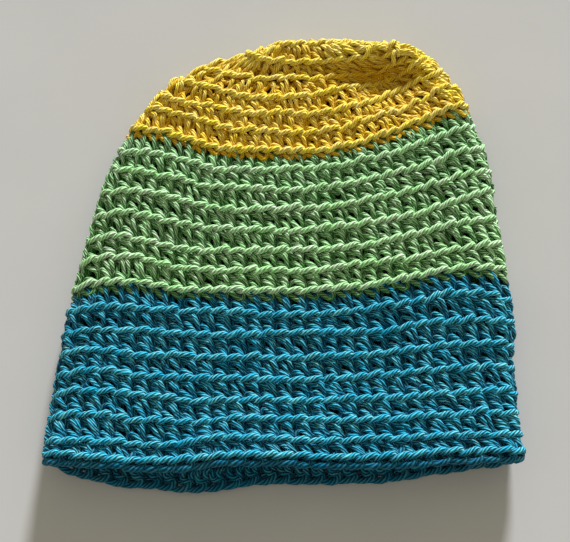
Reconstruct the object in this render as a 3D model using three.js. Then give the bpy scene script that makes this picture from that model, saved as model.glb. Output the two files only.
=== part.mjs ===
// A crochet beanie that lies flat on a table, in millimetres.
// X runs across the hat, +Y towards the crown, +Z up, and the mouth faces -Y.
// The wall is one soft shell, worked from the crown's centre down in rounds of stitches.
// Three yarns make it up, so it is three pieces: crown, middle_band and brim_band.
import * as THREE from 'three';

// Driving sizes
const wallThickness = 5.4;
const pieceGap = 0.6;
const roundHeight = 11.2;
const crownRounds = 8;
const bandRounds = 15;
const rimRounds = 23.35;

// The hat's shape, a row for each section. round counts from the crown's centre.
// The left and right folds are the outline, front and back are the middle of each panel,
// and frontZ is the height of the front panel's outer face there.
const sections = [
  { round: 0, leftX: 14, leftY: 114, rightX: 14, rightY: 114, frontY: 114, backY: 114, frontZ: 5.4 },
  { round: 1, leftX: 3, leftY: 120.5, rightX: 27, rightY: 122, frontY: 125, backY: 104.5, frontZ: 8.5 },
  { round: 2, leftX: -9, leftY: 122, rightX: 40, rightY: 125, frontY: 122.5, backY: 95, frontZ: 15 },
  { round: 3, leftX: -23, leftY: 119.5, rightX: 52, rightY: 126, frontY: 113, backY: 85.5, frontZ: 16 },
  { round: 4, leftX: -43, leftY: 112.5, rightX: 66, rightY: 124, frontY: 102, backY: 75.5, frontZ: 16 },
  { round: 5, leftX: -58.5, leftY: 104, rightX: 81, rightY: 117.5, frontY: 91, backY: 65.5, frontZ: 16.5 },
  { round: 6, leftX: -69.5, leftY: 95, rightX: 90.5, rightY: 108.5, frontY: 80, backY: 55.5, frontZ: 17 },
  { round: 8, leftX: -86, leftY: 72, rightX: 102.5, rightY: 87, frontY: 58, backY: 36, frontZ: 18 },
  { round: 11, leftX: -100, leftY: 37, rightX: 114.5, rightY: 50, frontY: 25, backY: 5, frontZ: 19 },
  { round: 13, leftX: -106.5, leftY: 10, rightX: 117, rightY: 22, frontY: 2, backY: -15.5, frontZ: 19 },
  { round: 15, leftX: -112.5, leftY: -17, rightX: 120, rightY: -6, frontY: -20, backY: -36, frontZ: 19.5 },
  { round: 17, leftX: -116.5, leftY: -40, rightX: 123, rightY: -35, frontY: -43, backY: -57, frontZ: 19.5 },
  { round: 19, leftX: -118.5, leftY: -61, rightX: 121.5, rightY: -58, frontY: -66, backY: -78, frontZ: 20 },
  { round: 22, leftX: -122, leftY: -95, rightX: 123, rightY: -92.5, frontY: -99, backY: -109, frontZ: 23.5 },
  { round: 23.35, leftX: -123, leftY: -108, rightX: 123.5, rightY: -106, frontY: -110.5, backY: -120, frontZ: 28 },
];

// Dents and waves of the lying cloth: where each one is, how far it reaches, how much it
// lifts the panel and how far it slides it towards the crown.
const waves = [
  { name: 'crown dent', panel: 'front', x: 56, y: 97, reachX: 34, reachY: 17, lift: -5, slide: 0 },
  { name: 'crown crease', panel: 'front', x: -14, y: 107, reachX: 28, reachY: 8, lift: -4, slide: 0 },
  { name: 'rim step', panel: 'front', x: -22, y: -106, reachX: 30, reachY: 16, lift: 2, slide: 2.5 },
  { name: 'rim dip', panel: 'front', x: -62, y: -108, reachX: 22, reachY: 16, lift: -2, slide: -1.5 },
  { name: 'back rim droop', panel: 'back', x: -55, y: -116, reachX: 40, reachY: 20, lift: 0, slide: -4 },
  { name: 'back rim tuck', panel: 'back', x: 84, y: -114, reachX: 28, reachY: 20, lift: 0, slide: 4 },
];

// Columns of facets across a panel: 0 is the middle, 1 is the fold.
const halfColumns = [0, 0.16, 0.31, 0.45, 0.57, 0.68, 0.78, 0.86, 0.92, 0.96, 0.985, 0.997];

// How a round leaves the level of its panel's middle for the folds: on the left side of the
// front it starts and ends its way up at these places, and on the right side it follows a
// power of the distance from the middle.
const leftClimbStart = 0.36;
const leftClimbEnd = 0.92;
const rightClimbPower = 1.7;
const backClimbPower = 3.6;

// A fold is nearly a half circle: near 2 its edge is as round as one.
const foldRoundness = 1.7;

// The middle of the finished hat, in plan, in the coordinates of the sections table.
const bodyCentreX = 0.25;
const bodyCentreY = 2.52;
const halfWall = wallThickness / 2;

function smoothStep(low, high, value) {
  const part = THREE.MathUtils.clamp((value - low) / (high - low), 0, 1);
  return part * part * (3 - 2 * part);
}

// A smooth curve through one column of the sections table.
function sectionValue(column, round) {
  const last = sections.length - 1;
  let index = 0;
  while (index < last - 1 && sections[index + 1].round <= round) {
    index += 1;
  }
  const before = sections[Math.max(index - 1, 0)];
  const start = sections[index];
  const end = sections[index + 1];
  const after = sections[Math.min(index + 2, last)];
  const span = end.round - start.round;
  const startSlope = ((end[column] - before[column]) / (end.round - before.round)) * span;
  const endSlope = ((after[column] - start[column]) / (after.round - start.round)) * span;
  const u = (round - start.round) / span;
  return (
    start[column] * (2 * u ** 3 - 3 * u ** 2 + 1) +
    startSlope * (u ** 3 - 2 * u ** 2 + u) +
    end[column] * (-2 * u ** 3 + 3 * u ** 2) +
    endSlope * (u ** 3 - u ** 2)
  );
}

// How far a round has come up from its panel's middle to its fold, from 0 to 1.
function climb(round, across, side, rise) {
  const away = Math.abs(across);
  if (side < 0) {
    return away ** backClimbPower;
  }
  const lying = across < 0
    ? smoothStep(leftClimbStart, leftClimbEnd, away)
    : away ** rightClimbPower;
  return THREE.MathUtils.lerp(1 - rise, lying, smoothStep(2, 6, round));
}

// The middle of the wall at a round. across runs from -1 at the left fold to 1 at the
// right one, and side is 1 on the front panel and -1 on the back one.
function wallMiddle(round, across, side) {
  const value = (column) => sectionValue(column, round);
  const inset = halfWall * Math.min(round, 1);
  const leftX = value('leftX') + inset;
  const rightX = value('rightX') - inset;
  const halfWidth = (rightX - leftX) / 2;
  const frontZ = value('frontZ') - halfWall;
  const foldZ = (frontZ + halfWall) / 2;
  const foldRadius = Math.max(foldZ - halfWall, 1);
  const squareness = Math.max(2, (foldRoundness * halfWidth) / foldRadius);
  const rise = Math.sqrt(Math.max(0, 1 - Math.abs(across) ** squareness));
  const foldY = across < 0 ? value('leftY') : value('rightY');
  const panelY = side > 0 ? value('frontY') : value('backY');
  const panelZ = side > 0 ? frontZ : halfWall;
  const point = new THREE.Vector3(
    leftX + halfWidth * (across + 1),
    THREE.MathUtils.lerp(panelY, foldY, climb(round, across, side, rise)),
    foldZ + (panelZ - foldZ) * rise,
  );
  return addWaves(point, smoothStep(0.2, 0.9, rise) * smoothStep(1, 3, round), side);
}

// The waves fade out towards the folds, where the two panels meet, and the crown's centre.
function addWaves(point, fade, side) {
  const start = point.clone();
  for (const wave of waves) {
    if ((wave.panel === 'front') !== side > 0) {
      continue;
    }
    const offX = (start.x - wave.x) / wave.reachX;
    const offY = (start.y - wave.y) / wave.reachY;
    const strength = fade * Math.exp(-offX * offX - offY * offY);
    point.z += wave.lift * strength;
    point.y += wave.slide * strength;
  }
  return point;
}

// Where each column of a ring lies, from the left fold over the front and back underneath.
function ringColumns() {
  const right = [...halfColumns, 1];
  const left = halfColumns.slice(1).reverse().map((across) => -across);
  const front = [-1, ...left, ...right].map((across) => ({ across, side: 1 }));
  const back = front
    .slice(1, -1)
    .reverse()
    .map((column) => ({ across: column.across, side: -1 }));
  return [...front, ...back];
}

const columns = ringColumns();

function ringMiddles(round) {
  return columns.map(({ across, side }) => wallMiddle(round, across, side));
}

// The outer or inner face of one ring: the wall's middle moved along the normal there,
// and flattened where it would pass the table at zero height.
function ringFace(round, offset) {
  const step = 0.05;
  const here = ringMiddles(round);
  const above = ringMiddles(Math.max(round - step, 0));
  const below = ringMiddles(Math.min(round + step, rimRounds));
  const count = here.length;
  return here.map((point, index) => {
    const along = here[(index + 1) % count].clone().sub(here[(index + count - 1) % count]);
    const down = below[index].clone().sub(above[index]);
    const normal = down.cross(along).normalize();
    const face = point.clone().addScaledVector(normal, offset);
    return face.setZ(Math.max(face.z, 0));
  });
}

// Joins closed rings of points, each one next to the last, into one closed skin.
function skinOfRings(rings, closesOnItself, caps) {
  const positions = [];
  const indices = [];
  const count = columns.length;
  rings.forEach((ring) => ring.forEach((point) => positions.push(point.x, point.y, point.z)));
  const joints = closesOnItself ? rings.length : rings.length - 1;
  for (let row = 0; row < joints; row += 1) {
    const next = (row + 1) % rings.length;
    for (let column = 0; column < count; column += 1) {
      const side = (column + 1) % count;
      const a = row * count + column;
      const b = row * count + side;
      const c = next * count + column;
      const d = next * count + side;
      indices.push(a, c, b, b, c, d);
    }
  }
  if (caps) {
    caps.forEach((point, end) => {
      const tip = positions.length / 3;
      const first = end === 0 ? 0 : (rings.length - 1) * count;
      positions.push(point.x, point.y, point.z);
      for (let column = 0; column < count; column += 1) {
        const a = first + column;
        const b = first + ((column + 1) % count);
        indices.push(tip, ...(end === 0 ? [a, b] : [b, a]));
      }
    });
  }
  const geometry = new THREE.BufferGeometry();
  geometry.setAttribute('position', new THREE.Float32BufferAttribute(positions, 3));
  geometry.setIndex(indices);
  geometry.translate(-bodyCentreX, -bodyCentreY, 0);
  geometry.computeVertexNormals();
  return geometry;
}

function roundsBetween(first, last, steps) {
  return Array.from({ length: steps + 1 }, (_, index) => first + ((last - first) * index) / steps);
}

// A band of the hat between two rounds, open at both ends.
function bandGeometry(first, last, steps) {
  const rounds = roundsBetween(first, last, steps);
  const outer = rounds.map((round) => ringFace(round, halfWall));
  const inner = rounds.map((round) => ringFace(round, -halfWall)).reverse();
  return skinOfRings([...outer, ...inner], true, null);
}

// The crown closes at its centre: its outer and inner faces each end in one point there.
function crownGeometry(last, steps) {
  const firstRound = 0.5;
  const rounds = roundsBetween(firstRound, last, steps);
  const outer = rounds.map((round) => ringFace(round, halfWall));
  const inner = rounds.map((round) => ringFace(round, -halfWall)).reverse();
  const centre = wallMiddle(0, 0, 1);
  const outerTip = centre.clone().setZ(centre.z - halfWall);
  const innerTip = centre.clone().setZ(centre.z + halfWall);
  return skinOfRings([...outer, ...inner], false, [outerTip, innerTip]);
}

function yarnPiece(name, geometry, colour) {
  const material = new THREE.MeshStandardMaterial({ color: colour, roughness: 0.6, metalness: 0 });
  material.name = name;
  const mesh = new THREE.Mesh(geometry, material);
  mesh.name = name;
  return mesh;
}

const halfGap = pieceGap / 2 / roundHeight;
const beanie = new THREE.Group();
beanie.add(
  yarnPiece('crown', crownGeometry(crownRounds - halfGap, 15), 0xdcb43c),
  yarnPiece('middle_band', bandGeometry(crownRounds + halfGap, bandRounds - halfGap, 9), 0x86bf86),
  yarnPiece('brim_band', bandGeometry(bandRounds + halfGap, rimRounds, 10), 0x1f86a8),
);

export default beanie;
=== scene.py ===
"""A crochet beanie lying flat on a pale table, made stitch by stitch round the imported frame.

The wall of the hat is a smooth surface, repeated from the frame's own tables. Each round of
crochet is one closed strand of yarn, whose path through a stitch is the same list of points
all the way round, laid on that surface and a little uneven as handwork is.
"""
import math

import bpy
import numpy as np
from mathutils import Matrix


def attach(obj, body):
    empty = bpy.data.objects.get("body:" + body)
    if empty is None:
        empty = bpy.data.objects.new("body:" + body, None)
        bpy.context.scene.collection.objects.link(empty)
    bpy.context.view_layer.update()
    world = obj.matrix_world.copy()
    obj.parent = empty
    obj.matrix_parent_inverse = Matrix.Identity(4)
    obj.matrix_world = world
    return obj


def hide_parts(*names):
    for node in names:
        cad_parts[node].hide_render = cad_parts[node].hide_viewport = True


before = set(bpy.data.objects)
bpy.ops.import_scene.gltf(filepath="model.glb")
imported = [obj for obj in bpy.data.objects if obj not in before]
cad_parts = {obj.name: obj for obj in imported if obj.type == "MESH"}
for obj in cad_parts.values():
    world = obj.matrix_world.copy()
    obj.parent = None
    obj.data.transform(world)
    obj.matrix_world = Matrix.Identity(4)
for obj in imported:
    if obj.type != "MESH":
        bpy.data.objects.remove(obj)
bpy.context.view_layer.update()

MM = 0.001
random_numbers = np.random.default_rng(11)

# Driving sizes, in millimetres
ROUND_HEIGHT = 11.2
STITCH_WIDTH = 8.0
WALL = 5.4
YARN_RADIUS = 1.36
FLOOR_CLEARANCE = 1.45

# The frame's centre in the tables below, which are in millimetres too.
BODY_CENTRE = np.array([0.25, 2.52, 0.0])

# The wall's sections as in the frame: round, left fold x and y, right fold x and y, the middle
# of the front and back panels, and the height of the front panel.
SECTIONS = np.array([
    (0, 14, 114, 14, 114, 114, 114, 5.4),
    (1, 3, 120.5, 27, 122, 125, 104.5, 8.5),
    (2, -9, 122, 40, 125, 122.5, 95, 15),
    (3, -23, 119.5, 52, 126, 113, 85.5, 16),
    (4, -43, 112.5, 66, 124, 102, 75.5, 16),
    (5, -58.5, 104, 81, 117.5, 91, 65.5, 16.5),
    (6, -69.5, 95, 90.5, 108.5, 80, 55.5, 17),
    (8, -86, 72, 102.5, 87, 58, 36, 18),
    (11, -100, 37, 114.5, 50, 25, 5, 19),
    (13, -106.5, 10, 117, 22, 2, -15.5, 19),
    (15, -112.5, -17, 120, -6, -20, -36, 19.5),
    (17, -116.5, -40, 123, -35, -43, -57, 19.5),
    (19, -118.5, -61, 121.5, -58, -66, -78, 20),
    (22, -122, -95, 123, -92.5, -99, -109, 23.5),
    (23.35, -123, -108, 123.5, -106, -110.5, -120, 28),
])

# Dents and waves as in the frame: panel, x, y, reach in x and y, lift and slide.
WAVES = [
    ("front", 56, 97, 34, 17, -5, 0),
    ("front", -14, 107, 28, 8, -4, 0),
    ("front", -22, -106, 30, 16, 2, 2.5),
    ("front", -62, -108, 22, 16, -2, -1.5),
    ("back", -55, -116, 40, 20, 0, -4),
    ("back", 84, -114, 28, 20, 0, 4),
]

# Where the back rim is drawn up further than in the frame: x, y, reach in x and y, way up.
BACK_RIM_LIFTS = [
    (-8, -120, 34, 22, 3.2),
    (45, -120, 70, 22, 1.8),
    (-62, -120, 20, 22, 2.6),
]

# Folds of the crown that only the yarn follows: x, y, reach in x and y, lift.
CROWN_FOLDS = [
    (36, 119, 12, 6, 4),
    (54, 120, 12, 6, 5),
    (70, 116, 9, 6, 6),
    (82, 106, 7, 7, 6),
    (91, 93, 7, 8, 5),
    (97, 82, 7, 8, 3),
    (60, 104, 22, 8, -6),
]

# Where the rounds lie lower or higher than even ones: x, y, reach in x and y, way down.
SAGS = [
    (-49, 95, 26, 14, 6.0),
    (-80, 52, 22, 20, 2.5),
    (-88, -12, 20, 14, -2.2),
    (-91, -96, 28, 9, 3.0),
    (84, -25, 22, 26, -2.5),
    (33, 96, 14, 10, -2.5),
]

# The same along the left and the right fold, and how far in from the fold it reaches.
LEFT_FOLD_SAG = 3.0
RIGHT_FOLD_SAG = 2.0
FOLD_SAG_REACH = 13.0

# Along the folds the yarn stands out less by this share, and at the crown's centre only by
# so much of its way out.
FOLD_PRESS = 0.75
FOLD_PRESS_REACH = 9.0
CENTRE_OUT = 0.6

# The hollow in the crown, x, y and reach in x and y, where the yarn lies flatter and has painted
# shade.
HOLLOW = (50, 106, 30, 8.5)
HOLLOW_PRESS = 0.8
HOLLOW_SHADE = 0.75

# The roll round the hollow, x, y and reach in x and y of each part of it, which has painted light.
ROLL = [
    (36, 119, 12, 5),
    (54, 121, 12, 5),
    (71, 117, 8, 5),
    (84, 108, 6, 7),
    (94, 95, 6, 9),
]
ROLL_PRESS = 0.7
ROLL_LIGHT = 0.8

# How much painted light brightens the yarn, as a share, at the right fold, how far in that
# reaches, and at the crown's folds.
RIGHT_EDGE_LIGHT = 2.0
RIGHT_EDGE_REACH = 8.0
CROWN_EDGE_LIGHT = 1.2

# How much painted shade darkens the yarn on the stitches' legs and below the last ridge, and
# the share of a round over which that comes in.
LEG_SHADE = 0.16
RIM_SHADE = 0.5
RIM_DEPTH = 0.15

# Small moves of the yarn in millimetres, the shares that legs and the crown's folds add, and
# how many points move together.
LOOSENESS = 0.35
LEG_LOOSENESS = 1.3
CROWN_TUFTS = 1.0
LOOSE_SAMPLES = 4

# How the front and back panels climb from their middle towards the folds, and how square the
# folds are.
LEFT_CLIMB = (0.36, 0.92)
RIGHT_CLIMB_POWER = 1.7
BACK_CLIMB_POWER = 3.6
FOLD_SQUARENESS = 1.7

# The yarn is thicker by this share on the inner side of the wall.
INNER_SWELL = 0.12

# The bands: name, the frame's node, slot, first and last round.
BANDS = [
    ("crown_centre_yarn", "crown", "yellow_yarn", 1, 5),
    ("crown_edge_yarn", "crown", "yellow_yarn", 6, 8),
    ("middle_band_upper_yarn", "middle_band", "green_yarn", 9, 12),
    ("middle_band_lower_yarn", "middle_band", "green_yarn", 13, 15),
    ("brim_band_upper_yarn", "brim_band", "blue_yarn", 16, 19),
    ("brim_band_lower_yarn", "brim_band", "blue_yarn", 20, 23),
]
LAST_ROUND = 23

# The wall goes on a little past the last round, for its loops.
WALL_END = 24.6

# Stitches in a full round, and how many each of the first rounds adds. Each round starts a
# share of a stitch further along.
STITCHES = 60
ADDED_STITCHES = 8
DRIFT = 0.11

# The rounds after which the yarn changes. Their lower loops lie out over the next yarn with
# painted shade, and the next round's upper ends are sunk below them, with painted shade too.
JOINS = (8, 15)
LOOP_LIFT = 0.7
LOOP_SHADE = 0.55
SUNK = 1.2
SUNK_LIGHT = 0.5

# The path of the yarn through one stitch: along the round in stitches, down the hat in rounds
# from the last ridge, out of the wall in millimetres, and how thick it is there, as it is
# squeezed where it goes through. It goes on one stitch further along.
HALF_DOUBLE = [
    (-0.97, 0.96, -1.7, 1.0), (-0.82, 0.86, -1.8, 1.0), (-0.72, 0.72, -1.5, 1.0),
    (-0.66, 0.62, -0.9, 0.85), (-0.56, 0.59, -0.1, 0.85), (-0.36, 0.66, 0.6, 0.92),
    (-0.14, 0.77, 0.9, 0.98), (0.02, 0.87, 0.5, 0.95), (0.10, 0.96, -0.4, 0.9),
    (0.06, 0.90, -1.2, 0.95), (-0.20, 0.88, -1.1, 1.0), (-0.48, 0.78, -1.1, 1.0),
    (-0.66, 0.62, -1.5, 1.0), (-0.62, 0.38, -1.9, 1.0), (-0.52, 0.18, -2.1, 1.0),
    (-0.50, 0.06, -1.5, 0.9),
    (-0.54, 0.09, -0.6, 0.85), (-0.44, 0.20, 0.3, 0.86), (-0.28, 0.33, 1.0, 0.88),
    (-0.12, 0.45, 0.8, 0.86), (0.0, 0.58, -0.3, 0.85), (0.12, 0.76, -0.9, 0.9),
    (0.22, 0.90, -1.4, 0.85), (0.32, 0.82, -0.9, 0.85), (0.20, 0.62, -0.6, 0.85),
    (0.07, 0.45, 0.6, 0.86), (-0.03, 0.31, 1.15, 0.88), (-0.19, 0.19, 0.6, 0.86),
    (-0.28, 0.08, -0.5, 0.85), (-0.12, 0.06, -1.8, 0.9), (0.16, 0.25, -2.1, 1.0),
    (0.22, 0.55, -2.0, 1.0), (0.06, 0.80, -1.7, 0.95), (-0.10, 1.00, -1.1, 0.95),
    (-0.16, 1.08, 0.2, 0.95), (0.05, 1.095, 1.2, 0.98), (0.35, 1.04, 2.0, 1.04),
    (0.65, 0.98, 2.4, 1.06), (0.88, 0.94, 2.3, 1.0), (1.05, 0.96, 1.3, 0.95),
    (1.14, 1.05, 0.1, 0.9), (1.18, 1.20, -1.0, 0.95), (1.14, 1.36, -1.1, 1.0),
    (0.98, 1.42, -0.8, 1.0), (0.80, 1.38, -0.5, 1.0), (0.60, 1.28, -0.5, 1.0),
    (0.40, 1.17, -1.0, 1.0), (0.12, 1.04, -1.6, 1.0),
]
SINGLE = [
    (-0.97, 0.96, -1.7, 1.1), (-0.60, 0.86, -1.6, 1.2), (-0.40, 0.60, -1.8, 1.2),
    (-0.38, 0.30, -2.0, 1.15), (-0.46, 0.12, -1.4, 0.95),
    (-0.52, 0.20, -0.4, 0.85), (-0.40, 0.36, 0.2, 0.85), (-0.20, 0.54, 0.3, 0.85),
    (0.0, 0.74, 0.0, 0.9), (0.14, 0.92, -0.7, 0.95), (0.30, 0.86, -1.0, 0.9),
    (0.14, 0.64, -0.1, 0.8), (-0.04, 0.44, 0.2, 0.8), (-0.22, 0.26, 0.1, 0.8),
    (-0.26, 0.12, -0.6, 0.85), (-0.10, 0.10, -1.8, 0.9),
    (0.20, 0.28, -2.1, 1.15), (0.18, 0.55, -2.0, 1.2), (0.04, 0.80, -1.5, 1.05),
    (-0.10, 1.02, -0.8, 0.95), (-0.15, 1.12, 0.4, 1.02), (0.05, 1.12, 1.25, 1.06),
    (0.35, 1.06, 1.7, 1.08), (0.65, 0.98, 1.9, 1.08), (0.88, 0.935, 1.8, 1.06),
    (1.05, 0.96, 1.1, 1.0), (1.16, 1.08, -0.1, 1.0), (1.22, 1.24, -0.7, 1.1),
    (1.12, 1.37, -0.9, 1.2), (0.84, 1.40, -1.1, 1.25), (0.50, 1.40, -1.5, 1.25),
    (0.24, 1.33, -1.9, 1.25), (0.08, 1.18, -2.0, 1.2),
]

# Points along one stitch's path, the length in millimetres and the turn in radians that ask
# for as many points as each other, and the faces round the yarn.
DOUBLE_SAMPLES = 50
SINGLE_SAMPLES = 42
SAMPLE_LENGTH = 2.0
SAMPLE_TURN = 0.7
SIDES = 8

# The way out of the wall at which the painted shade on the yarn is darkest, and how far from
# it the yarn has no painted shade, in millimetres.
DARKEST_OUT = -1.5
EXPOSED_REACH = 3.6

# The yarn's plies, and the length in which they go round it once. Slack, plies and fibres
# change so many times in a millimetre along the yarn, and slack shifts the plies by a share
# of a turn. Patches change so many times in a metre.
PLIES = 5
PLY_TURN = 15.0
SLACK_CHANGES = 0.11
SLACK_SHIFT = 0.5
PLY_CHANGES = 0.12
PLY_SPREAD = 7.3
FIBRES_ROUND = 60.0
FIBRE_CHANGES = 0.5
PATCH_SCALE = 60.0

# The power that rounds the plies in the bump, the fibres' share of it, and its depth in
# millimetres.
PLY_ROUNDNESS = 0.7
FIBRE_HEIGHT = 0.2
BUMP_DEPTH = 0.6

# What patches, fibres and plies add to the tone, its contrast, and how rare light tones are.
PATCH_TONE = 0.15
FIBRE_TONE = 0.4
PLY_TONE = 0.45
TONE_CONTRAST = 2.8
TONE_POWER = 2.0

# How the painted shade grows inwards, how much darker the painted shade in the grooves
# between plies is where the yarn is in painted shade, how dark it is where the yarn is tight,
# what slack adds, and how narrow the grooves are.
SHADE_POWER = 1.1
SHADED_GROOVES = 0.6
TIGHT_GROOVES = 0.15
SLACK_GROOVES = 1.6
GROOVE_POWER = 0.8

# How rough the yarn is, and how much rougher on its fibres.
ROUGHNESS = 0.5
FIBRE_ROUGHNESS = 0.2

# Each yarn's colour in painted shade, of its body, of its lightest fibres and of its shine, and
# how dark the painted shade in the grooves between its plies is.
YARNS = {
    "yellow_yarn": {
        "shade_colour": (0.64, 0.33, 0.0, 1),
        "body": (1.0, 0.81, 0.02, 1),
        "bright": (1.0, 0.95, 0.54, 1),
        "shine": (1.0, 0.85, 0.15, 1),
        "groove_shade": 0.6,
    },
    "green_yarn": {
        "shade_colour": (0.003, 0.10, 0.0, 1),
        "body": (0.45, 0.94, 0.38, 1),
        "bright": (0.97, 0.97, 0.92, 1),
        "shine": (0.7, 1.0, 0.6, 1),
        "groove_shade": 0.6,
    },
    "blue_yarn": {
        "shade_colour": (0.0, 0.045, 0.108, 1),
        "body": (0.0, 0.455, 0.755, 1),
        "bright": (0.33, 1.0, 0.95, 1),
        "shine": (0.1, 0.75, 1.0, 1),
        "groove_shade": 0.95,
    },
}

# The floor's reach each way in metres, and its two shades.
FLOOR_REACH = 40.0
FLOOR_SHADES = ((0.49, 0.49, 0.49, 1), (0.545, 0.545, 0.545, 1))

# The lamp's height and its way round from straight behind the crown, in degrees.
LAMP_HEIGHT = 18
LAMP_FROM_RIGHT = 11

# The camera, fitted to the outline and the rows of stitches: metres, degrees, millimetres.
CAMERA_PLACE = (0.00082, -0.1356, 0.5127)
CAMERA_TILT = 14
CAMERA_LENS = 61.4


def smooth_step(low, high, value):
    part = np.clip((value - low) / (high - low), 0, 1)
    return part * part * (3 - 2 * part)


def hump(x, y, middle_x, middle_y, reach_x, reach_y):
    return np.exp(-(((x - middle_x) / reach_x) ** 2) - ((y - middle_y) / reach_y) ** 2)


def section_values(rounds):
    """The section at each round, on a smooth curve through the table."""
    keys = SECTIONS[:, 0]
    start = np.clip(np.searchsorted(keys, rounds, side="right") - 1, 0, len(keys) - 2)
    end = start + 1
    before = np.maximum(start - 1, 0)
    after = np.minimum(start + 2, len(keys) - 1)
    span = keys[end] - keys[start]
    u = ((rounds - keys[start]) / span)[:, None]
    rise_in = (SECTIONS[end] - SECTIONS[before]) / (keys[end] - keys[before])[:, None]
    rise_out = (SECTIONS[after] - SECTIONS[start]) / (keys[after] - keys[start])[:, None]
    return (
        SECTIONS[start] * (2 * u**3 - 3 * u**2 + 1)
        + rise_in * span[:, None] * (u**3 - 2 * u**2 + u)
        + SECTIONS[end] * (3 * u**2 - 2 * u**3)
        + rise_out * span[:, None] * (u**3 - u**2)
    )


def panel_middle(rounds, across, side):
    """The middle of the wall on the front (side 1) or back (side -1) panel, in millimetres."""
    row = section_values(rounds)
    half_wall = WALL / 2
    inset = half_wall * np.clip(rounds, 0, 1)
    left_x = row[:, 1] + inset
    right_x = row[:, 3] - inset
    front_z = row[:, 7] - half_wall
    half_width = (right_x - left_x)[:, None] / 2
    fold_z = (front_z + half_wall)[:, None] / 2
    squareness = np.maximum(2, FOLD_SQUARENESS * half_width / np.maximum(fold_z - half_wall, 1))
    away = np.abs(across)[None, :]
    rise = np.sqrt(np.maximum(0, 1 - away**squareness))
    fold_y = np.where(across[None, :] < 0, row[:, 2, None], row[:, 4, None])
    panel_y = row[:, 5 if side > 0 else 6, None]
    panel_z = front_z[:, None] if side > 0 else half_wall
    if side > 0:
        lying = np.where(across < 0, smooth_step(*LEFT_CLIMB, -across), away**RIGHT_CLIMB_POWER)
        blend = smooth_step(2, 6, rounds)[:, None]
        climb = (1 - rise) + (lying - (1 - rise)) * blend
    else:
        climb = away**BACK_CLIMB_POWER
    x = left_x[:, None] + half_width * (across[None, :] + 1)
    y = panel_y + (fold_y - panel_y) * climb
    z = fold_z + (panel_z - fold_z) * rise
    fade = smooth_step(0.2, 0.9, rise) * smooth_step(1, 3, rounds)[:, None]
    moved_y, moved_z = y.copy(), z.copy()
    for panel, *where, lift, slide in WAVES:
        if (panel == "front") == (side > 0):
            strength = fade * hump(x, y, *where)
            moved_z += lift * strength
            moved_y += slide * strength
    if side > 0:
        crown_fade = smooth_step(0.0, 0.3, rise) * smooth_step(0.5, 1.8, rounds)[:, None]
        for *where, lift in CROWN_FOLDS:
            moved_z += lift * crown_fade * hump(x, y, *where)
    else:
        for *where, lift in BACK_RIM_LIFTS:
            moved_y += lift * fade * hump(x, y, *where)
    return np.stack([x, moved_y, moved_z], 2)


def evenly_spaced(rings, count):
    """Each ring's points moved along it, so that they lie at equal distances."""
    even = np.empty((len(rings), count, 3))
    for index, ring in enumerate(rings):
        gone = np.concatenate([[0], np.cumsum(np.linalg.norm(np.diff(ring, axis=0), axis=1))])
        wanted = np.linspace(0, gone[-1], count, endpoint=False)
        for axis in range(3):
            even[index, :, axis] = np.interp(wanted, gone, ring[:, axis])
    return even


class Wall:
    """The middle surface of the wall, read by round and by turns along it from the left fold."""

    step = 0.1
    columns_each = 8
    points_across = 240
    smallest_girth = 12

    def __init__(self, last_round):
        rounds = np.arange(0, last_round + self.step, self.step)
        near_fold = 1 - np.linspace(1, 0, self.points_across) ** 3
        across = np.concatenate([-near_fold[::-1], near_fold[1:]])
        front = panel_middle(rounds, across, 1)
        back = panel_middle(rounds, across[::-1], -1)
        half = STITCHES * self.columns_each // 2
        self.places = np.concatenate([evenly_spaced(front, half), evenly_spaced(back, half)], 1)
        self.places -= BODY_CENTRE
        along = np.roll(self.places, -1, 1) - np.roll(self.places, 1, 1)
        down = np.gradient(self.places, axis=0)
        normals = np.cross(down, along)
        length = np.maximum(np.linalg.norm(normals, axis=2, keepdims=True), 1e-9)
        self.normals = normals / length
        self.normals[0] = (0, 0, -1)
        ahead = np.linalg.norm(np.roll(self.places, -1, 1) - self.places, axis=2)
        self.girths = np.maximum(ahead.sum(1), self.smallest_girth)

    def mixed(self, grid, rounds, turns):
        """The grid's values between its rows and columns."""
        row = np.clip(rounds / self.step, 0, len(grid) - 1.001)
        column = (turns % 1) * grid.shape[1]
        row_low = row.astype(int)
        column_low = column.astype(int) % grid.shape[1]
        column_high = (column_low + 1) % grid.shape[1]
        down = (row - row_low)[:, None]
        over = (column % 1)[:, None]
        upper = grid[row_low, column_low] * (1 - over) + grid[row_low, column_high] * over
        lower = grid[row_low + 1, column_low] * (1 - over) + grid[row_low + 1, column_high] * over
        return upper * (1 - down) + lower * down

    def girth(self, rounds):
        return np.interp(rounds / self.step, np.arange(len(self.girths)), self.girths)

    def point(self, rounds, turns, out):
        """A point off the wall by out, pressed flat where it would go into the table."""
        place = self.mixed(self.places, rounds, turns)
        normal = self.mixed(self.normals, rounds, turns)
        normal /= np.maximum(np.linalg.norm(normal, axis=1, keepdims=True), 1e-9)
        place = place + normal * out[:, None]
        over = place[:, 2] - FLOOR_CLEARANCE
        place[:, 2] = FLOOR_CLEARANCE + (over + np.sqrt(over**2 + 1)) / 2
        return place, normal


class Unevenness:
    """A smooth random field over the hat, a value for each round and stitch, which wraps round."""

    def __init__(self, spread, rows_each=1, columns=STITCHES):
        self.rows_each = rows_each
        rows = (LAST_ROUND + 3) * rows_each
        self.values = random_numbers.normal(0, spread, (rows, columns))

    def __call__(self, rounds, turns):
        row = np.maximum(rounds, 0) * self.rows_each
        column = (turns % 1) * self.values.shape[1]
        low = row.astype(int)
        left = column.astype(int) % self.values.shape[1]
        right = (left + 1) % self.values.shape[1]
        down = smooth_step(0, 1, row - low)
        over = smooth_step(0, 1, column % 1)
        upper = self.values[low, left] * (1 - over) + self.values[low, right] * over
        lower = self.values[low + 1, left] * (1 - over) + self.values[low + 1, right] * over
        return upper * (1 - down) + lower * down


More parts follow.
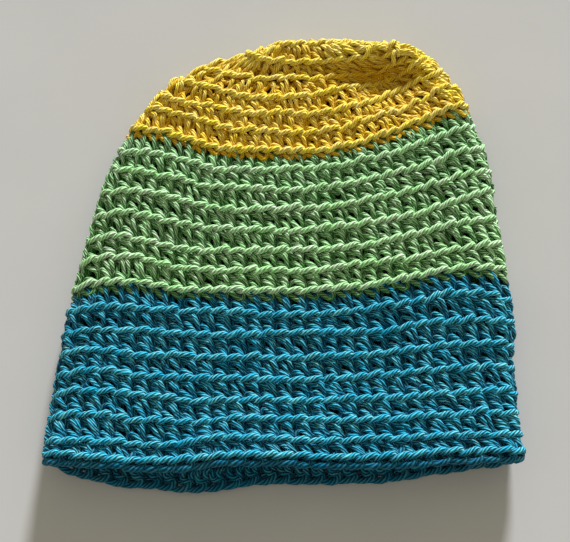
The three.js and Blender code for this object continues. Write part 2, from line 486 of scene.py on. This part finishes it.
def stitch_path(points, count):
    """count points along one stitch's path, closer together where it turns."""
    points = np.array(points)
    onward = np.array([1.0, 0, 0, 0])
    before = np.vstack([points[-1:] - onward, points[:-1]])
    after = np.vstack([points[1:], points[:1] + onward])
    later = np.vstack([points[2:], points[:2] + onward])
    parts = []
    for u in np.arange(0, 1, 0.1):
        parts.append(
            (-before + 3 * points - 3 * after + later) * u**3 / 2
            + (2 * before - 5 * points + 4 * after - later) * u**2 / 2
            + (after - before) * u / 2
            + points
        )
    fine = np.stack(parts, 1).reshape(-1, 4)
    fine = np.vstack([fine, fine[:1] + onward])
    real = fine[:, :3] * (STITCH_WIDTH, ROUND_HEIGHT, 1.0)
    steps = np.diff(real, axis=0)
    lengths = np.linalg.norm(steps, axis=1)
    ways = steps / lengths[:, None]
    turning = np.arccos(np.clip((ways * np.roll(ways, -1, 0)).sum(1), -1, 1))
    effort = np.concatenate([[0], np.cumsum(lengths / SAMPLE_LENGTH + turning / SAMPLE_TURN)])
    wanted = np.linspace(0, effort[-1], count, endpoint=False)
    return np.stack([np.interp(wanted, effort, fine[:, axis]) for axis in range(4)], 1)


def carried_frames(path):
    """A sideways direction at each point of a closed path, carried along it without twisting."""
    ahead = np.roll(path, -1, 0)
    tangents = ahead - np.roll(path, 1, 0)
    tangents /= np.linalg.norm(tangents, axis=1, keepdims=True)
    steps = ahead - path
    squares = (steps * steps).sum(1)
    sides = np.empty_like(path)
    side = np.cross(tangents[0], (0.3, 0.5, 0.8))
    side /= np.linalg.norm(side)
    count = len(path)
    for index in range(count):
        sides[index] = side
        step, square = steps[index], squares[index]
        half_side = side - step * (2 / square * step.dot(side))
        half_way = tangents[index] - step * (2 / square * step.dot(tangents[index]))
        change = tangents[(index + 1) % count] - half_way
        side = half_side - change * (2 / max(change.dot(change), 1e-12) * change.dot(half_side))
    others = np.cross(tangents, sides)
    closing = math.atan2(side.dot(others[0]), side.dot(sides[0]))
    angle = -closing * np.arange(count)[:, None] / count
    turned = sides * np.cos(angle) + others * np.sin(angle)
    return turned, np.cross(tangents, turned)


wall = Wall(WALL_END)

# Handwork's unevenness in millimetres, and the swell as a share of the yarn's thickness
slip_along = Unevenness(0.5)
slip_down = Unevenness(0.4, 2)
long_waves = Unevenness(0.5, 1, 12)
slip_out = Unevenness(0.28, 2)
swell = Unevenness(0.05, 2)


def stitches_in(number):
    return min(number * ADDED_STITCHES, STITCHES)


def way_down(rounds, x, y, front, from_left, from_right):
    """How much lower than even rounds the yarn lies, in millimetres."""
    settled = smooth_step(3, 6, rounds) * (1 - smooth_step(22, 23, rounds))
    near_left = np.exp(-((from_left / FOLD_SAG_REACH) ** 2))
    near_right = np.exp(-((from_right / FOLD_SAG_REACH) ** 2))
    sag = sum(down_by * hump(x, y, *where) for *where, down_by in SAGS) * front
    sag += LEFT_FOLD_SAG * settled * smooth_step(8, 15, rounds) * near_left
    sag += RIGHT_FOLD_SAG * settled * near_right
    return sag


def loose_moves(rounds, down, near_fold):
    """Small random moves along the round, down the hat and out of the wall."""
    count = len(down)
    draws = random_numbers.normal(0, LOOSENESS, (3, count // LOOSE_SAMPLES + 1))
    moves = draws.repeat(LOOSE_SAMPLES, 1)[:, :count]
    legs = smooth_step(0.1, 0.25, down) * (1 - smooth_step(0.75, 0.95, down))
    moves = moves * (1 + LEG_LOOSENESS * legs)
    moves *= 1 + CROWN_TUFTS * near_fold * (1 - smooth_step(5, 9, rounds))
    kernel = np.hanning(9) / np.hanning(9).sum()
    return [np.convolve(np.pad(row, 4, mode="wrap"), kernel, "valid") for row in moves]


def light_share(number, rounds, down, hollow, roll, right_edge, near_fold):
    """The share of painted light and shade in the yarn's colour, 1 on an even part of the wall."""
    light = 1 - HOLLOW_SHADE * hollow
    light *= 1 - RIM_SHADE * smooth_step(LAST_ROUND, LAST_ROUND + RIM_DEPTH, rounds)
    light *= 1 - LEG_SHADE * smooth_step(0.15, 0.3, down) * (1 - smooth_step(0.75, 0.9, down))
    if number in JOINS:
        light *= 1 - LOOP_SHADE * smooth_step(1.12, 1.22, down)
    if number - 1 in JOINS:
        light *= SUNK_LIGHT + (1 - SUNK_LIGHT) * smooth_step(0.2, 0.45, down)
    light += RIGHT_EDGE_LIGHT * right_edge + ROLL_LIGHT * roll
    light += CROWN_EDGE_LIGHT * near_fold * (1 - smooth_step(7, 8, rounds))
    return light


def round_path(number):
    """One round's closed path, and along it the yarn's radius, its way out of the wall, the
    wall's normal, the share of painted light it gets and how far it is part of the rim."""
    if number == LAST_ROUND:
        stitch = stitch_path(SINGLE, SINGLE_SAMPLES)
    else:
        stitch = stitch_path(HALF_DOUBLE, DOUBLE_SAMPLES)
    count = stitches_in(number)
    starts = np.repeat(np.arange(count), len(stitch))
    along, down, out, thick = np.tile(stitch, (count, 1)).T
    turns = (starts + along + number * DRIFT) / count
    rounds = number - 1 + down
    x, y = (wall.mixed(wall.places, rounds, turns) + BODY_CENTRE)[:, :2].T
    front = smooth_step(0, 0.03, turns % 1) * smooth_step(0, 0.03, 0.5 - turns % 1)
    girth = wall.girth(rounds)
    from_left = (np.abs((turns + 0.5) % 1 - 0.5)) * girth
    from_right = np.abs(turns % 1 - 0.5) * girth
    near_fold = np.exp(-((np.minimum(from_left, from_right) / FOLD_PRESS_REACH) ** 2))
    right_edge = np.exp(-((from_right / RIGHT_EDGE_REACH) ** 2)) * front
    hollow = hump(x, y, *HOLLOW) * front
    roll = np.minimum(sum(hump(x, y, *where) for where in ROLL), 1) * front

    pressed = 1 - FOLD_PRESS * near_fold
    pressed *= (1 - HOLLOW_PRESS * hollow) * (1 - ROLL_PRESS * roll)
    pressed *= CENTRE_OUT + (1 - CENTRE_OUT) * smooth_step(1.5, 3, rounds)
    out = np.where(out > 0, out * pressed, out)
    if number in JOINS:
        out += LOOP_LIFT * smooth_step(1.12, 1.25, down)
    if number - 1 in JOINS:
        out -= SUNK * (1 - smooth_step(0.3, 0.5, down))
    thick = thick * (1 + INNER_SWELL * smooth_step(0.9, 1.7, -out)) * (1 + swell(rounds, turns))

    loose = loose_moves(rounds, down, near_fold)
    moved_turns = turns + (slip_along(rounds, turns) + loose[0]) / girth
    slide = slip_down(rounds, turns) + long_waves(rounds, turns) + loose[1]
    slide += way_down(rounds, x, y, front, from_left, from_right)
    moved_rounds = np.maximum(rounds + slide / ROUND_HEIGHT, 0.02)
    moved_out = out + slip_out(rounds, turns) + loose[2]
    place, normal = wall.point(moved_rounds, moved_turns, moved_out)
    light = light_share(number, rounds, down, hollow, roll, right_edge, near_fold)[:, None]
    at_rim = smooth_step(LAST_ROUND, LAST_ROUND + RIM_DEPTH, rounds)[:, None]
    return place, thick * YARN_RADIUS, out[:, None], normal, light, at_rim


def strand_mesh(name, paths):
    """One mesh of closed round strands along the paths, with a map of turns round the yarn and
    millimetres along it, and how far each point is exposed to the light, for painted shade."""
    places, faces, strand_map, exposed = [], [], [], []
    first = 0
    around = np.arange(SIDES) / SIDES
    for path, radius, out, normal, light, at_rim in paths:
        side, other = carried_frames(path)
        angle = 2 * math.pi * around[None, :, None]
        ring = side[:, None] * np.cos(angle) + other[:, None] * np.sin(angle)
        places.append((path[:, None] + ring * radius[:, None, None]).reshape(-1, 3))
        outward = out + radius[:, None] * (ring * normal[:, None]).sum(2)
        # Painted shade: darkest where the yarn lies at DARKEST_OUT, scaled by its share of painted
        # light, and not below its part of the rim.
        exposed.append(np.maximum(np.abs(outward - DARKEST_OUT) * light, at_rim).ravel())
        count = len(path)
        here = np.arange(count)[:, None] * SIDES + np.arange(SIDES)[None]
        turned = np.arange(count)[:, None] * SIDES + (np.arange(SIDES)[None] + 1) % SIDES
        ahead = np.roll(here, -1, 0)
        ahead_turned = np.roll(turned, -1, 0)
        faces.append(first + np.stack([here, turned, ahead_turned, ahead], 2).reshape(-1, 4))
        first += count * SIDES
        steps = np.linalg.norm(np.roll(path, -1, 0) - path, axis=1)
        gone = np.concatenate([[0], np.cumsum(steps)])
        low = np.broadcast_to(gone[:-1, None], (count, SIDES))
        high = np.broadcast_to(gone[1:, None], (count, SIDES))
        left = np.broadcast_to(around[None], (count, SIDES))
        right = left + 1 / SIDES
        corners = [(left, low), (right, low), (right, high), (left, high)]
        strand_map.append(np.stack([np.stack(c, 2) for c in corners], 2).reshape(-1, 2))
    places = np.concatenate(places) * MM
    faces = np.concatenate(faces)
    mesh = bpy.data.meshes.new(name)
    mesh.vertices.add(len(places))
    mesh.vertices.foreach_set("co", places.astype(np.float32).ravel())
    mesh.loops.add(faces.size)
    mesh.loops.foreach_set("vertex_index", faces.astype(np.int32).ravel())
    mesh.polygons.add(len(faces))
    mesh.polygons.foreach_set("loop_start", np.arange(0, faces.size, 4, dtype=np.int32))
    mesh.polygons.foreach_set("use_smooth", np.ones(len(faces), bool))
    mesh.update(calc_edges=True)
    reach = mesh.attributes.new("exposed", "FLOAT", "POINT")
    reach.data.foreach_set("value", np.concatenate(exposed).astype(np.float32))
    layer = mesh.uv_layers.new(name="strand")
    layer.uv.foreach_set("vector", np.concatenate(strand_map).astype(np.float32).ravel())
    return mesh


class Nodes:
    """Short calls for building one material's node tree."""

    def __init__(self, material):
        self.tree = material.node_tree

    def add(self, kind, **settings):
        node = self.tree.nodes.new(kind)
        for key, value in settings.items():
            setattr(node, key, value)
        return node

    def put(self, socket, value):
        if isinstance(value, bpy.types.NodeSocket):
            self.tree.links.new(value, socket)
        else:
            socket.default_value = value

    def math(self, operation, *values):
        node = self.add("ShaderNodeMath", operation=operation)
        for socket, value in zip(node.inputs, values):
            self.put(socket, value)
        return node.outputs[0]

    def vector(self, first, second):
        node = self.add("ShaderNodeCombineXYZ")
        self.put(node.inputs[0], first)
        self.put(node.inputs[1], second)
        return node.outputs[0]

    def mix(self, factor, first, second):
        node = self.add("ShaderNodeMix", data_type="RGBA")
        self.put(node.inputs["Factor"], factor)
        self.put(node.inputs[6], first)
        self.put(node.inputs[7], second)
        return node.outputs[2]

    def noise(self, vector, scale, detail=2.0):
        node = self.add("ShaderNodeTexNoise")
        self.put(node.inputs["Vector"], vector)
        node.inputs["Scale"].default_value = scale
        node.inputs["Detail"].default_value = detail
        return node.outputs["Fac"]


def yarn_material(name, shade_colour, body, bright, shine, groove_shade):
    """Smooth plied cotton: round plies wound round the strand, with a shine along their tops."""
    material = bpy.data.materials.new(name)
    material.use_nodes = True
    nodes = Nodes(material)
    shader = material.node_tree.nodes["Principled BSDF"]
    split = nodes.add("ShaderNodeSeparateXYZ")
    nodes.put(split.inputs[0], nodes.add("ShaderNodeUVMap", uv_map="strand").outputs["UV"])
    turn, length = split.outputs[0], split.outputs[1]

    slackened = nodes.vector(nodes.math("MULTIPLY", length, SLACK_CHANGES), 0.0)
    slack = nodes.noise(slackened, 1.0, 1.0)
    wound = nodes.math("MULTIPLY_ADD", length, 1 / PLY_TURN, turn)
    wound = nodes.math("MULTIPLY_ADD", slack, SLACK_SHIFT, wound)
    counted = nodes.math("MULTIPLY", wound, PLIES)
    wave = nodes.math("COSINE", nodes.math("MULTIPLY", counted, math.tau))
    ply = nodes.math("MULTIPLY_ADD", wave, -0.5, 0.5)
    number = nodes.math("FLOORED_MODULO", nodes.math("FLOOR", counted), PLIES)
    own = nodes.vector(
        nodes.math("MULTIPLY", number, PLY_SPREAD),
        nodes.math("MULTIPLY", length, PLY_CHANGES),
    )
    light_ply = nodes.noise(own, 1.0, 1.0)
    stretched = nodes.vector(
        nodes.math("MULTIPLY", wound, FIBRES_ROUND),
        nodes.math("MULTIPLY", length, FIBRE_CHANGES),
    )
    fibres = nodes.noise(stretched, 1.0, 3.0)
    patches = nodes.noise(nodes.add("ShaderNodeTexCoord").outputs["Object"], PATCH_SCALE)

    rounded = nodes.math("POWER", ply, PLY_ROUNDNESS)
    bump = nodes.add("ShaderNodeBump")
    bump.inputs["Strength"].default_value = 1.0
    bump.inputs["Distance"].default_value = BUMP_DEPTH * MM
    nodes.put(bump.inputs["Height"], nodes.math("MULTIPLY_ADD", fibres, FIBRE_HEIGHT, rounded))
    nodes.put(shader.inputs["Normal"], bump.outputs[0])

    tone = nodes.math("MULTIPLY", fibres, FIBRE_TONE)
    tone = nodes.math("MULTIPLY_ADD", patches, PATCH_TONE, tone)
    tone = nodes.math("MULTIPLY_ADD", light_ply, PLY_TONE, tone)
    tone = nodes.math("MULTIPLY_ADD", nodes.math("SUBTRACT", tone, 0.5), TONE_CONTRAST, 0.5)
    lightest = nodes.math("POWER", nodes.math("MAXIMUM", tone, 0.0), TONE_POWER)
    base = nodes.mix(lightest, body, bright)

    # Painted shade: the yarn's colour goes towards its shade colour where it is less exposed.
    exposed = nodes.add("ShaderNodeAttribute", attribute_name="exposed").outputs["Fac"]
    open_air = nodes.math("MINIMUM", nodes.math("DIVIDE", exposed, EXPOSED_REACH), 1.0)
    open_air = nodes.math("POWER", open_air, SHADE_POWER)
    # Painted shade in the grooves between the plies, darker where the yarn is in painted shade.
    slackness = nodes.math("MULTIPLY_ADD", slack, SLACK_GROOVES, TIGHT_GROOVES)
    groove_shading = nodes.math("MULTIPLY_ADD", open_air, -SHADED_GROOVES, groove_shade + SHADED_GROOVES)
    groove_shading = nodes.math("MULTIPLY", groove_shading, slackness)
    dip = nodes.math("SUBTRACT", 1.0, nodes.math("POWER", ply, GROOVE_POWER))
    lit = nodes.math("SUBTRACT", 1.0, nodes.math("MULTIPLY", dip, groove_shading))
    lit = nodes.math("MAXIMUM", nodes.math("MULTIPLY", lit, open_air), 0.0)
    nodes.put(shader.inputs["Base Color"], nodes.mix(lit, shade_colour, base))
    roughness = nodes.math("MULTIPLY_ADD", fibres, FIBRE_ROUGHNESS, ROUGHNESS)
    nodes.put(shader.inputs["Roughness"], roughness)
    shader.inputs["Sheen Weight"].default_value = 0.05
    shader.inputs["Sheen Roughness"].default_value = 0.4
    shader.inputs["Specular IOR Level"].default_value = 0.25
    shader.inputs["Specular Tint"].default_value = shine
    return material


def make_beanie():
    materials = {slot: yarn_material(slot + "_cotton", **yarn) for slot, yarn in YARNS.items()}
    for name, node, slot, first, last in BANDS:
        paths = [round_path(number) for number in range(first, last + 1)]
        piece = bpy.data.objects.new(name, strand_mesh(name, paths))
        bpy.context.scene.collection.objects.link(piece)
        piece.data.materials.append(materials[slot])
        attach(piece, "root")
        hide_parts(node)


def make_floor():
    material = bpy.data.materials.new("pale_floor")
    material.use_nodes = True
    shader = material.node_tree.nodes["Principled BSDF"]
    nodes = Nodes(material)
    cloud = nodes.noise(nodes.add("ShaderNodeTexCoord").outputs["Object"], 14.0, 4.0)
    nodes.put(shader.inputs["Base Color"], nodes.mix(cloud, *FLOOR_SHADES))
    shader.inputs["Roughness"].default_value = 0.9
    shader.inputs["Specular IOR Level"].default_value = 0.0
    corners = [(x * FLOOR_REACH, y * FLOOR_REACH, 0) for x, y in ((-1, -1), (1, -1), (1, 1), (-1, 1))]
    mesh = bpy.data.meshes.new("floor")
    mesh.from_pydata(corners, [], [(0, 1, 2, 3)])
    floor = bpy.data.objects.new("floor", mesh)
    mesh.materials.append(material)
    bpy.context.scene.collection.objects.link(floor)


def make_light():
    """One soft lamp low beyond the crown, and an even sky."""
    lamp = bpy.data.lights.new("key", "SUN")
    lamp.energy = 6.0
    lamp.angle = math.radians(10)
    lamp.color = (0.97, 0.98, 1.0)
    key = bpy.data.objects.new("key", lamp)
    key.rotation_euler = (
        math.radians(90) - math.radians(LAMP_HEIGHT),
        0,
        math.pi - math.radians(LAMP_FROM_RIGHT),
    )
    bpy.context.scene.collection.objects.link(key)
    world = bpy.data.worlds.new("sky")
    world.use_nodes = True
    background = world.node_tree.nodes["Background"]
    background.inputs["Color"].default_value = (1.0, 0.94, 0.76, 1)
    background.inputs["Strength"].default_value = 0.46
    bpy.context.scene.world = world


def make_camera():
    """The photograph's view: above the mouth, a little tilted, half a metre away."""
    camera = bpy.data.cameras.new("camera")
    camera.sensor_width = 36
    camera.lens = CAMERA_LENS
    camera.clip_start = 0.01
    holder = bpy.data.objects.new("camera", camera)
    holder.location = CAMERA_PLACE
    holder.rotation_euler = (math.radians(CAMERA_TILT), 0, 0)
    bpy.context.scene.collection.objects.link(holder)
    bpy.context.scene.camera = holder


make_camera()
make_beanie()
make_floor()
make_light()
bpy.context.scene.view_settings.view_transform = "Standard"
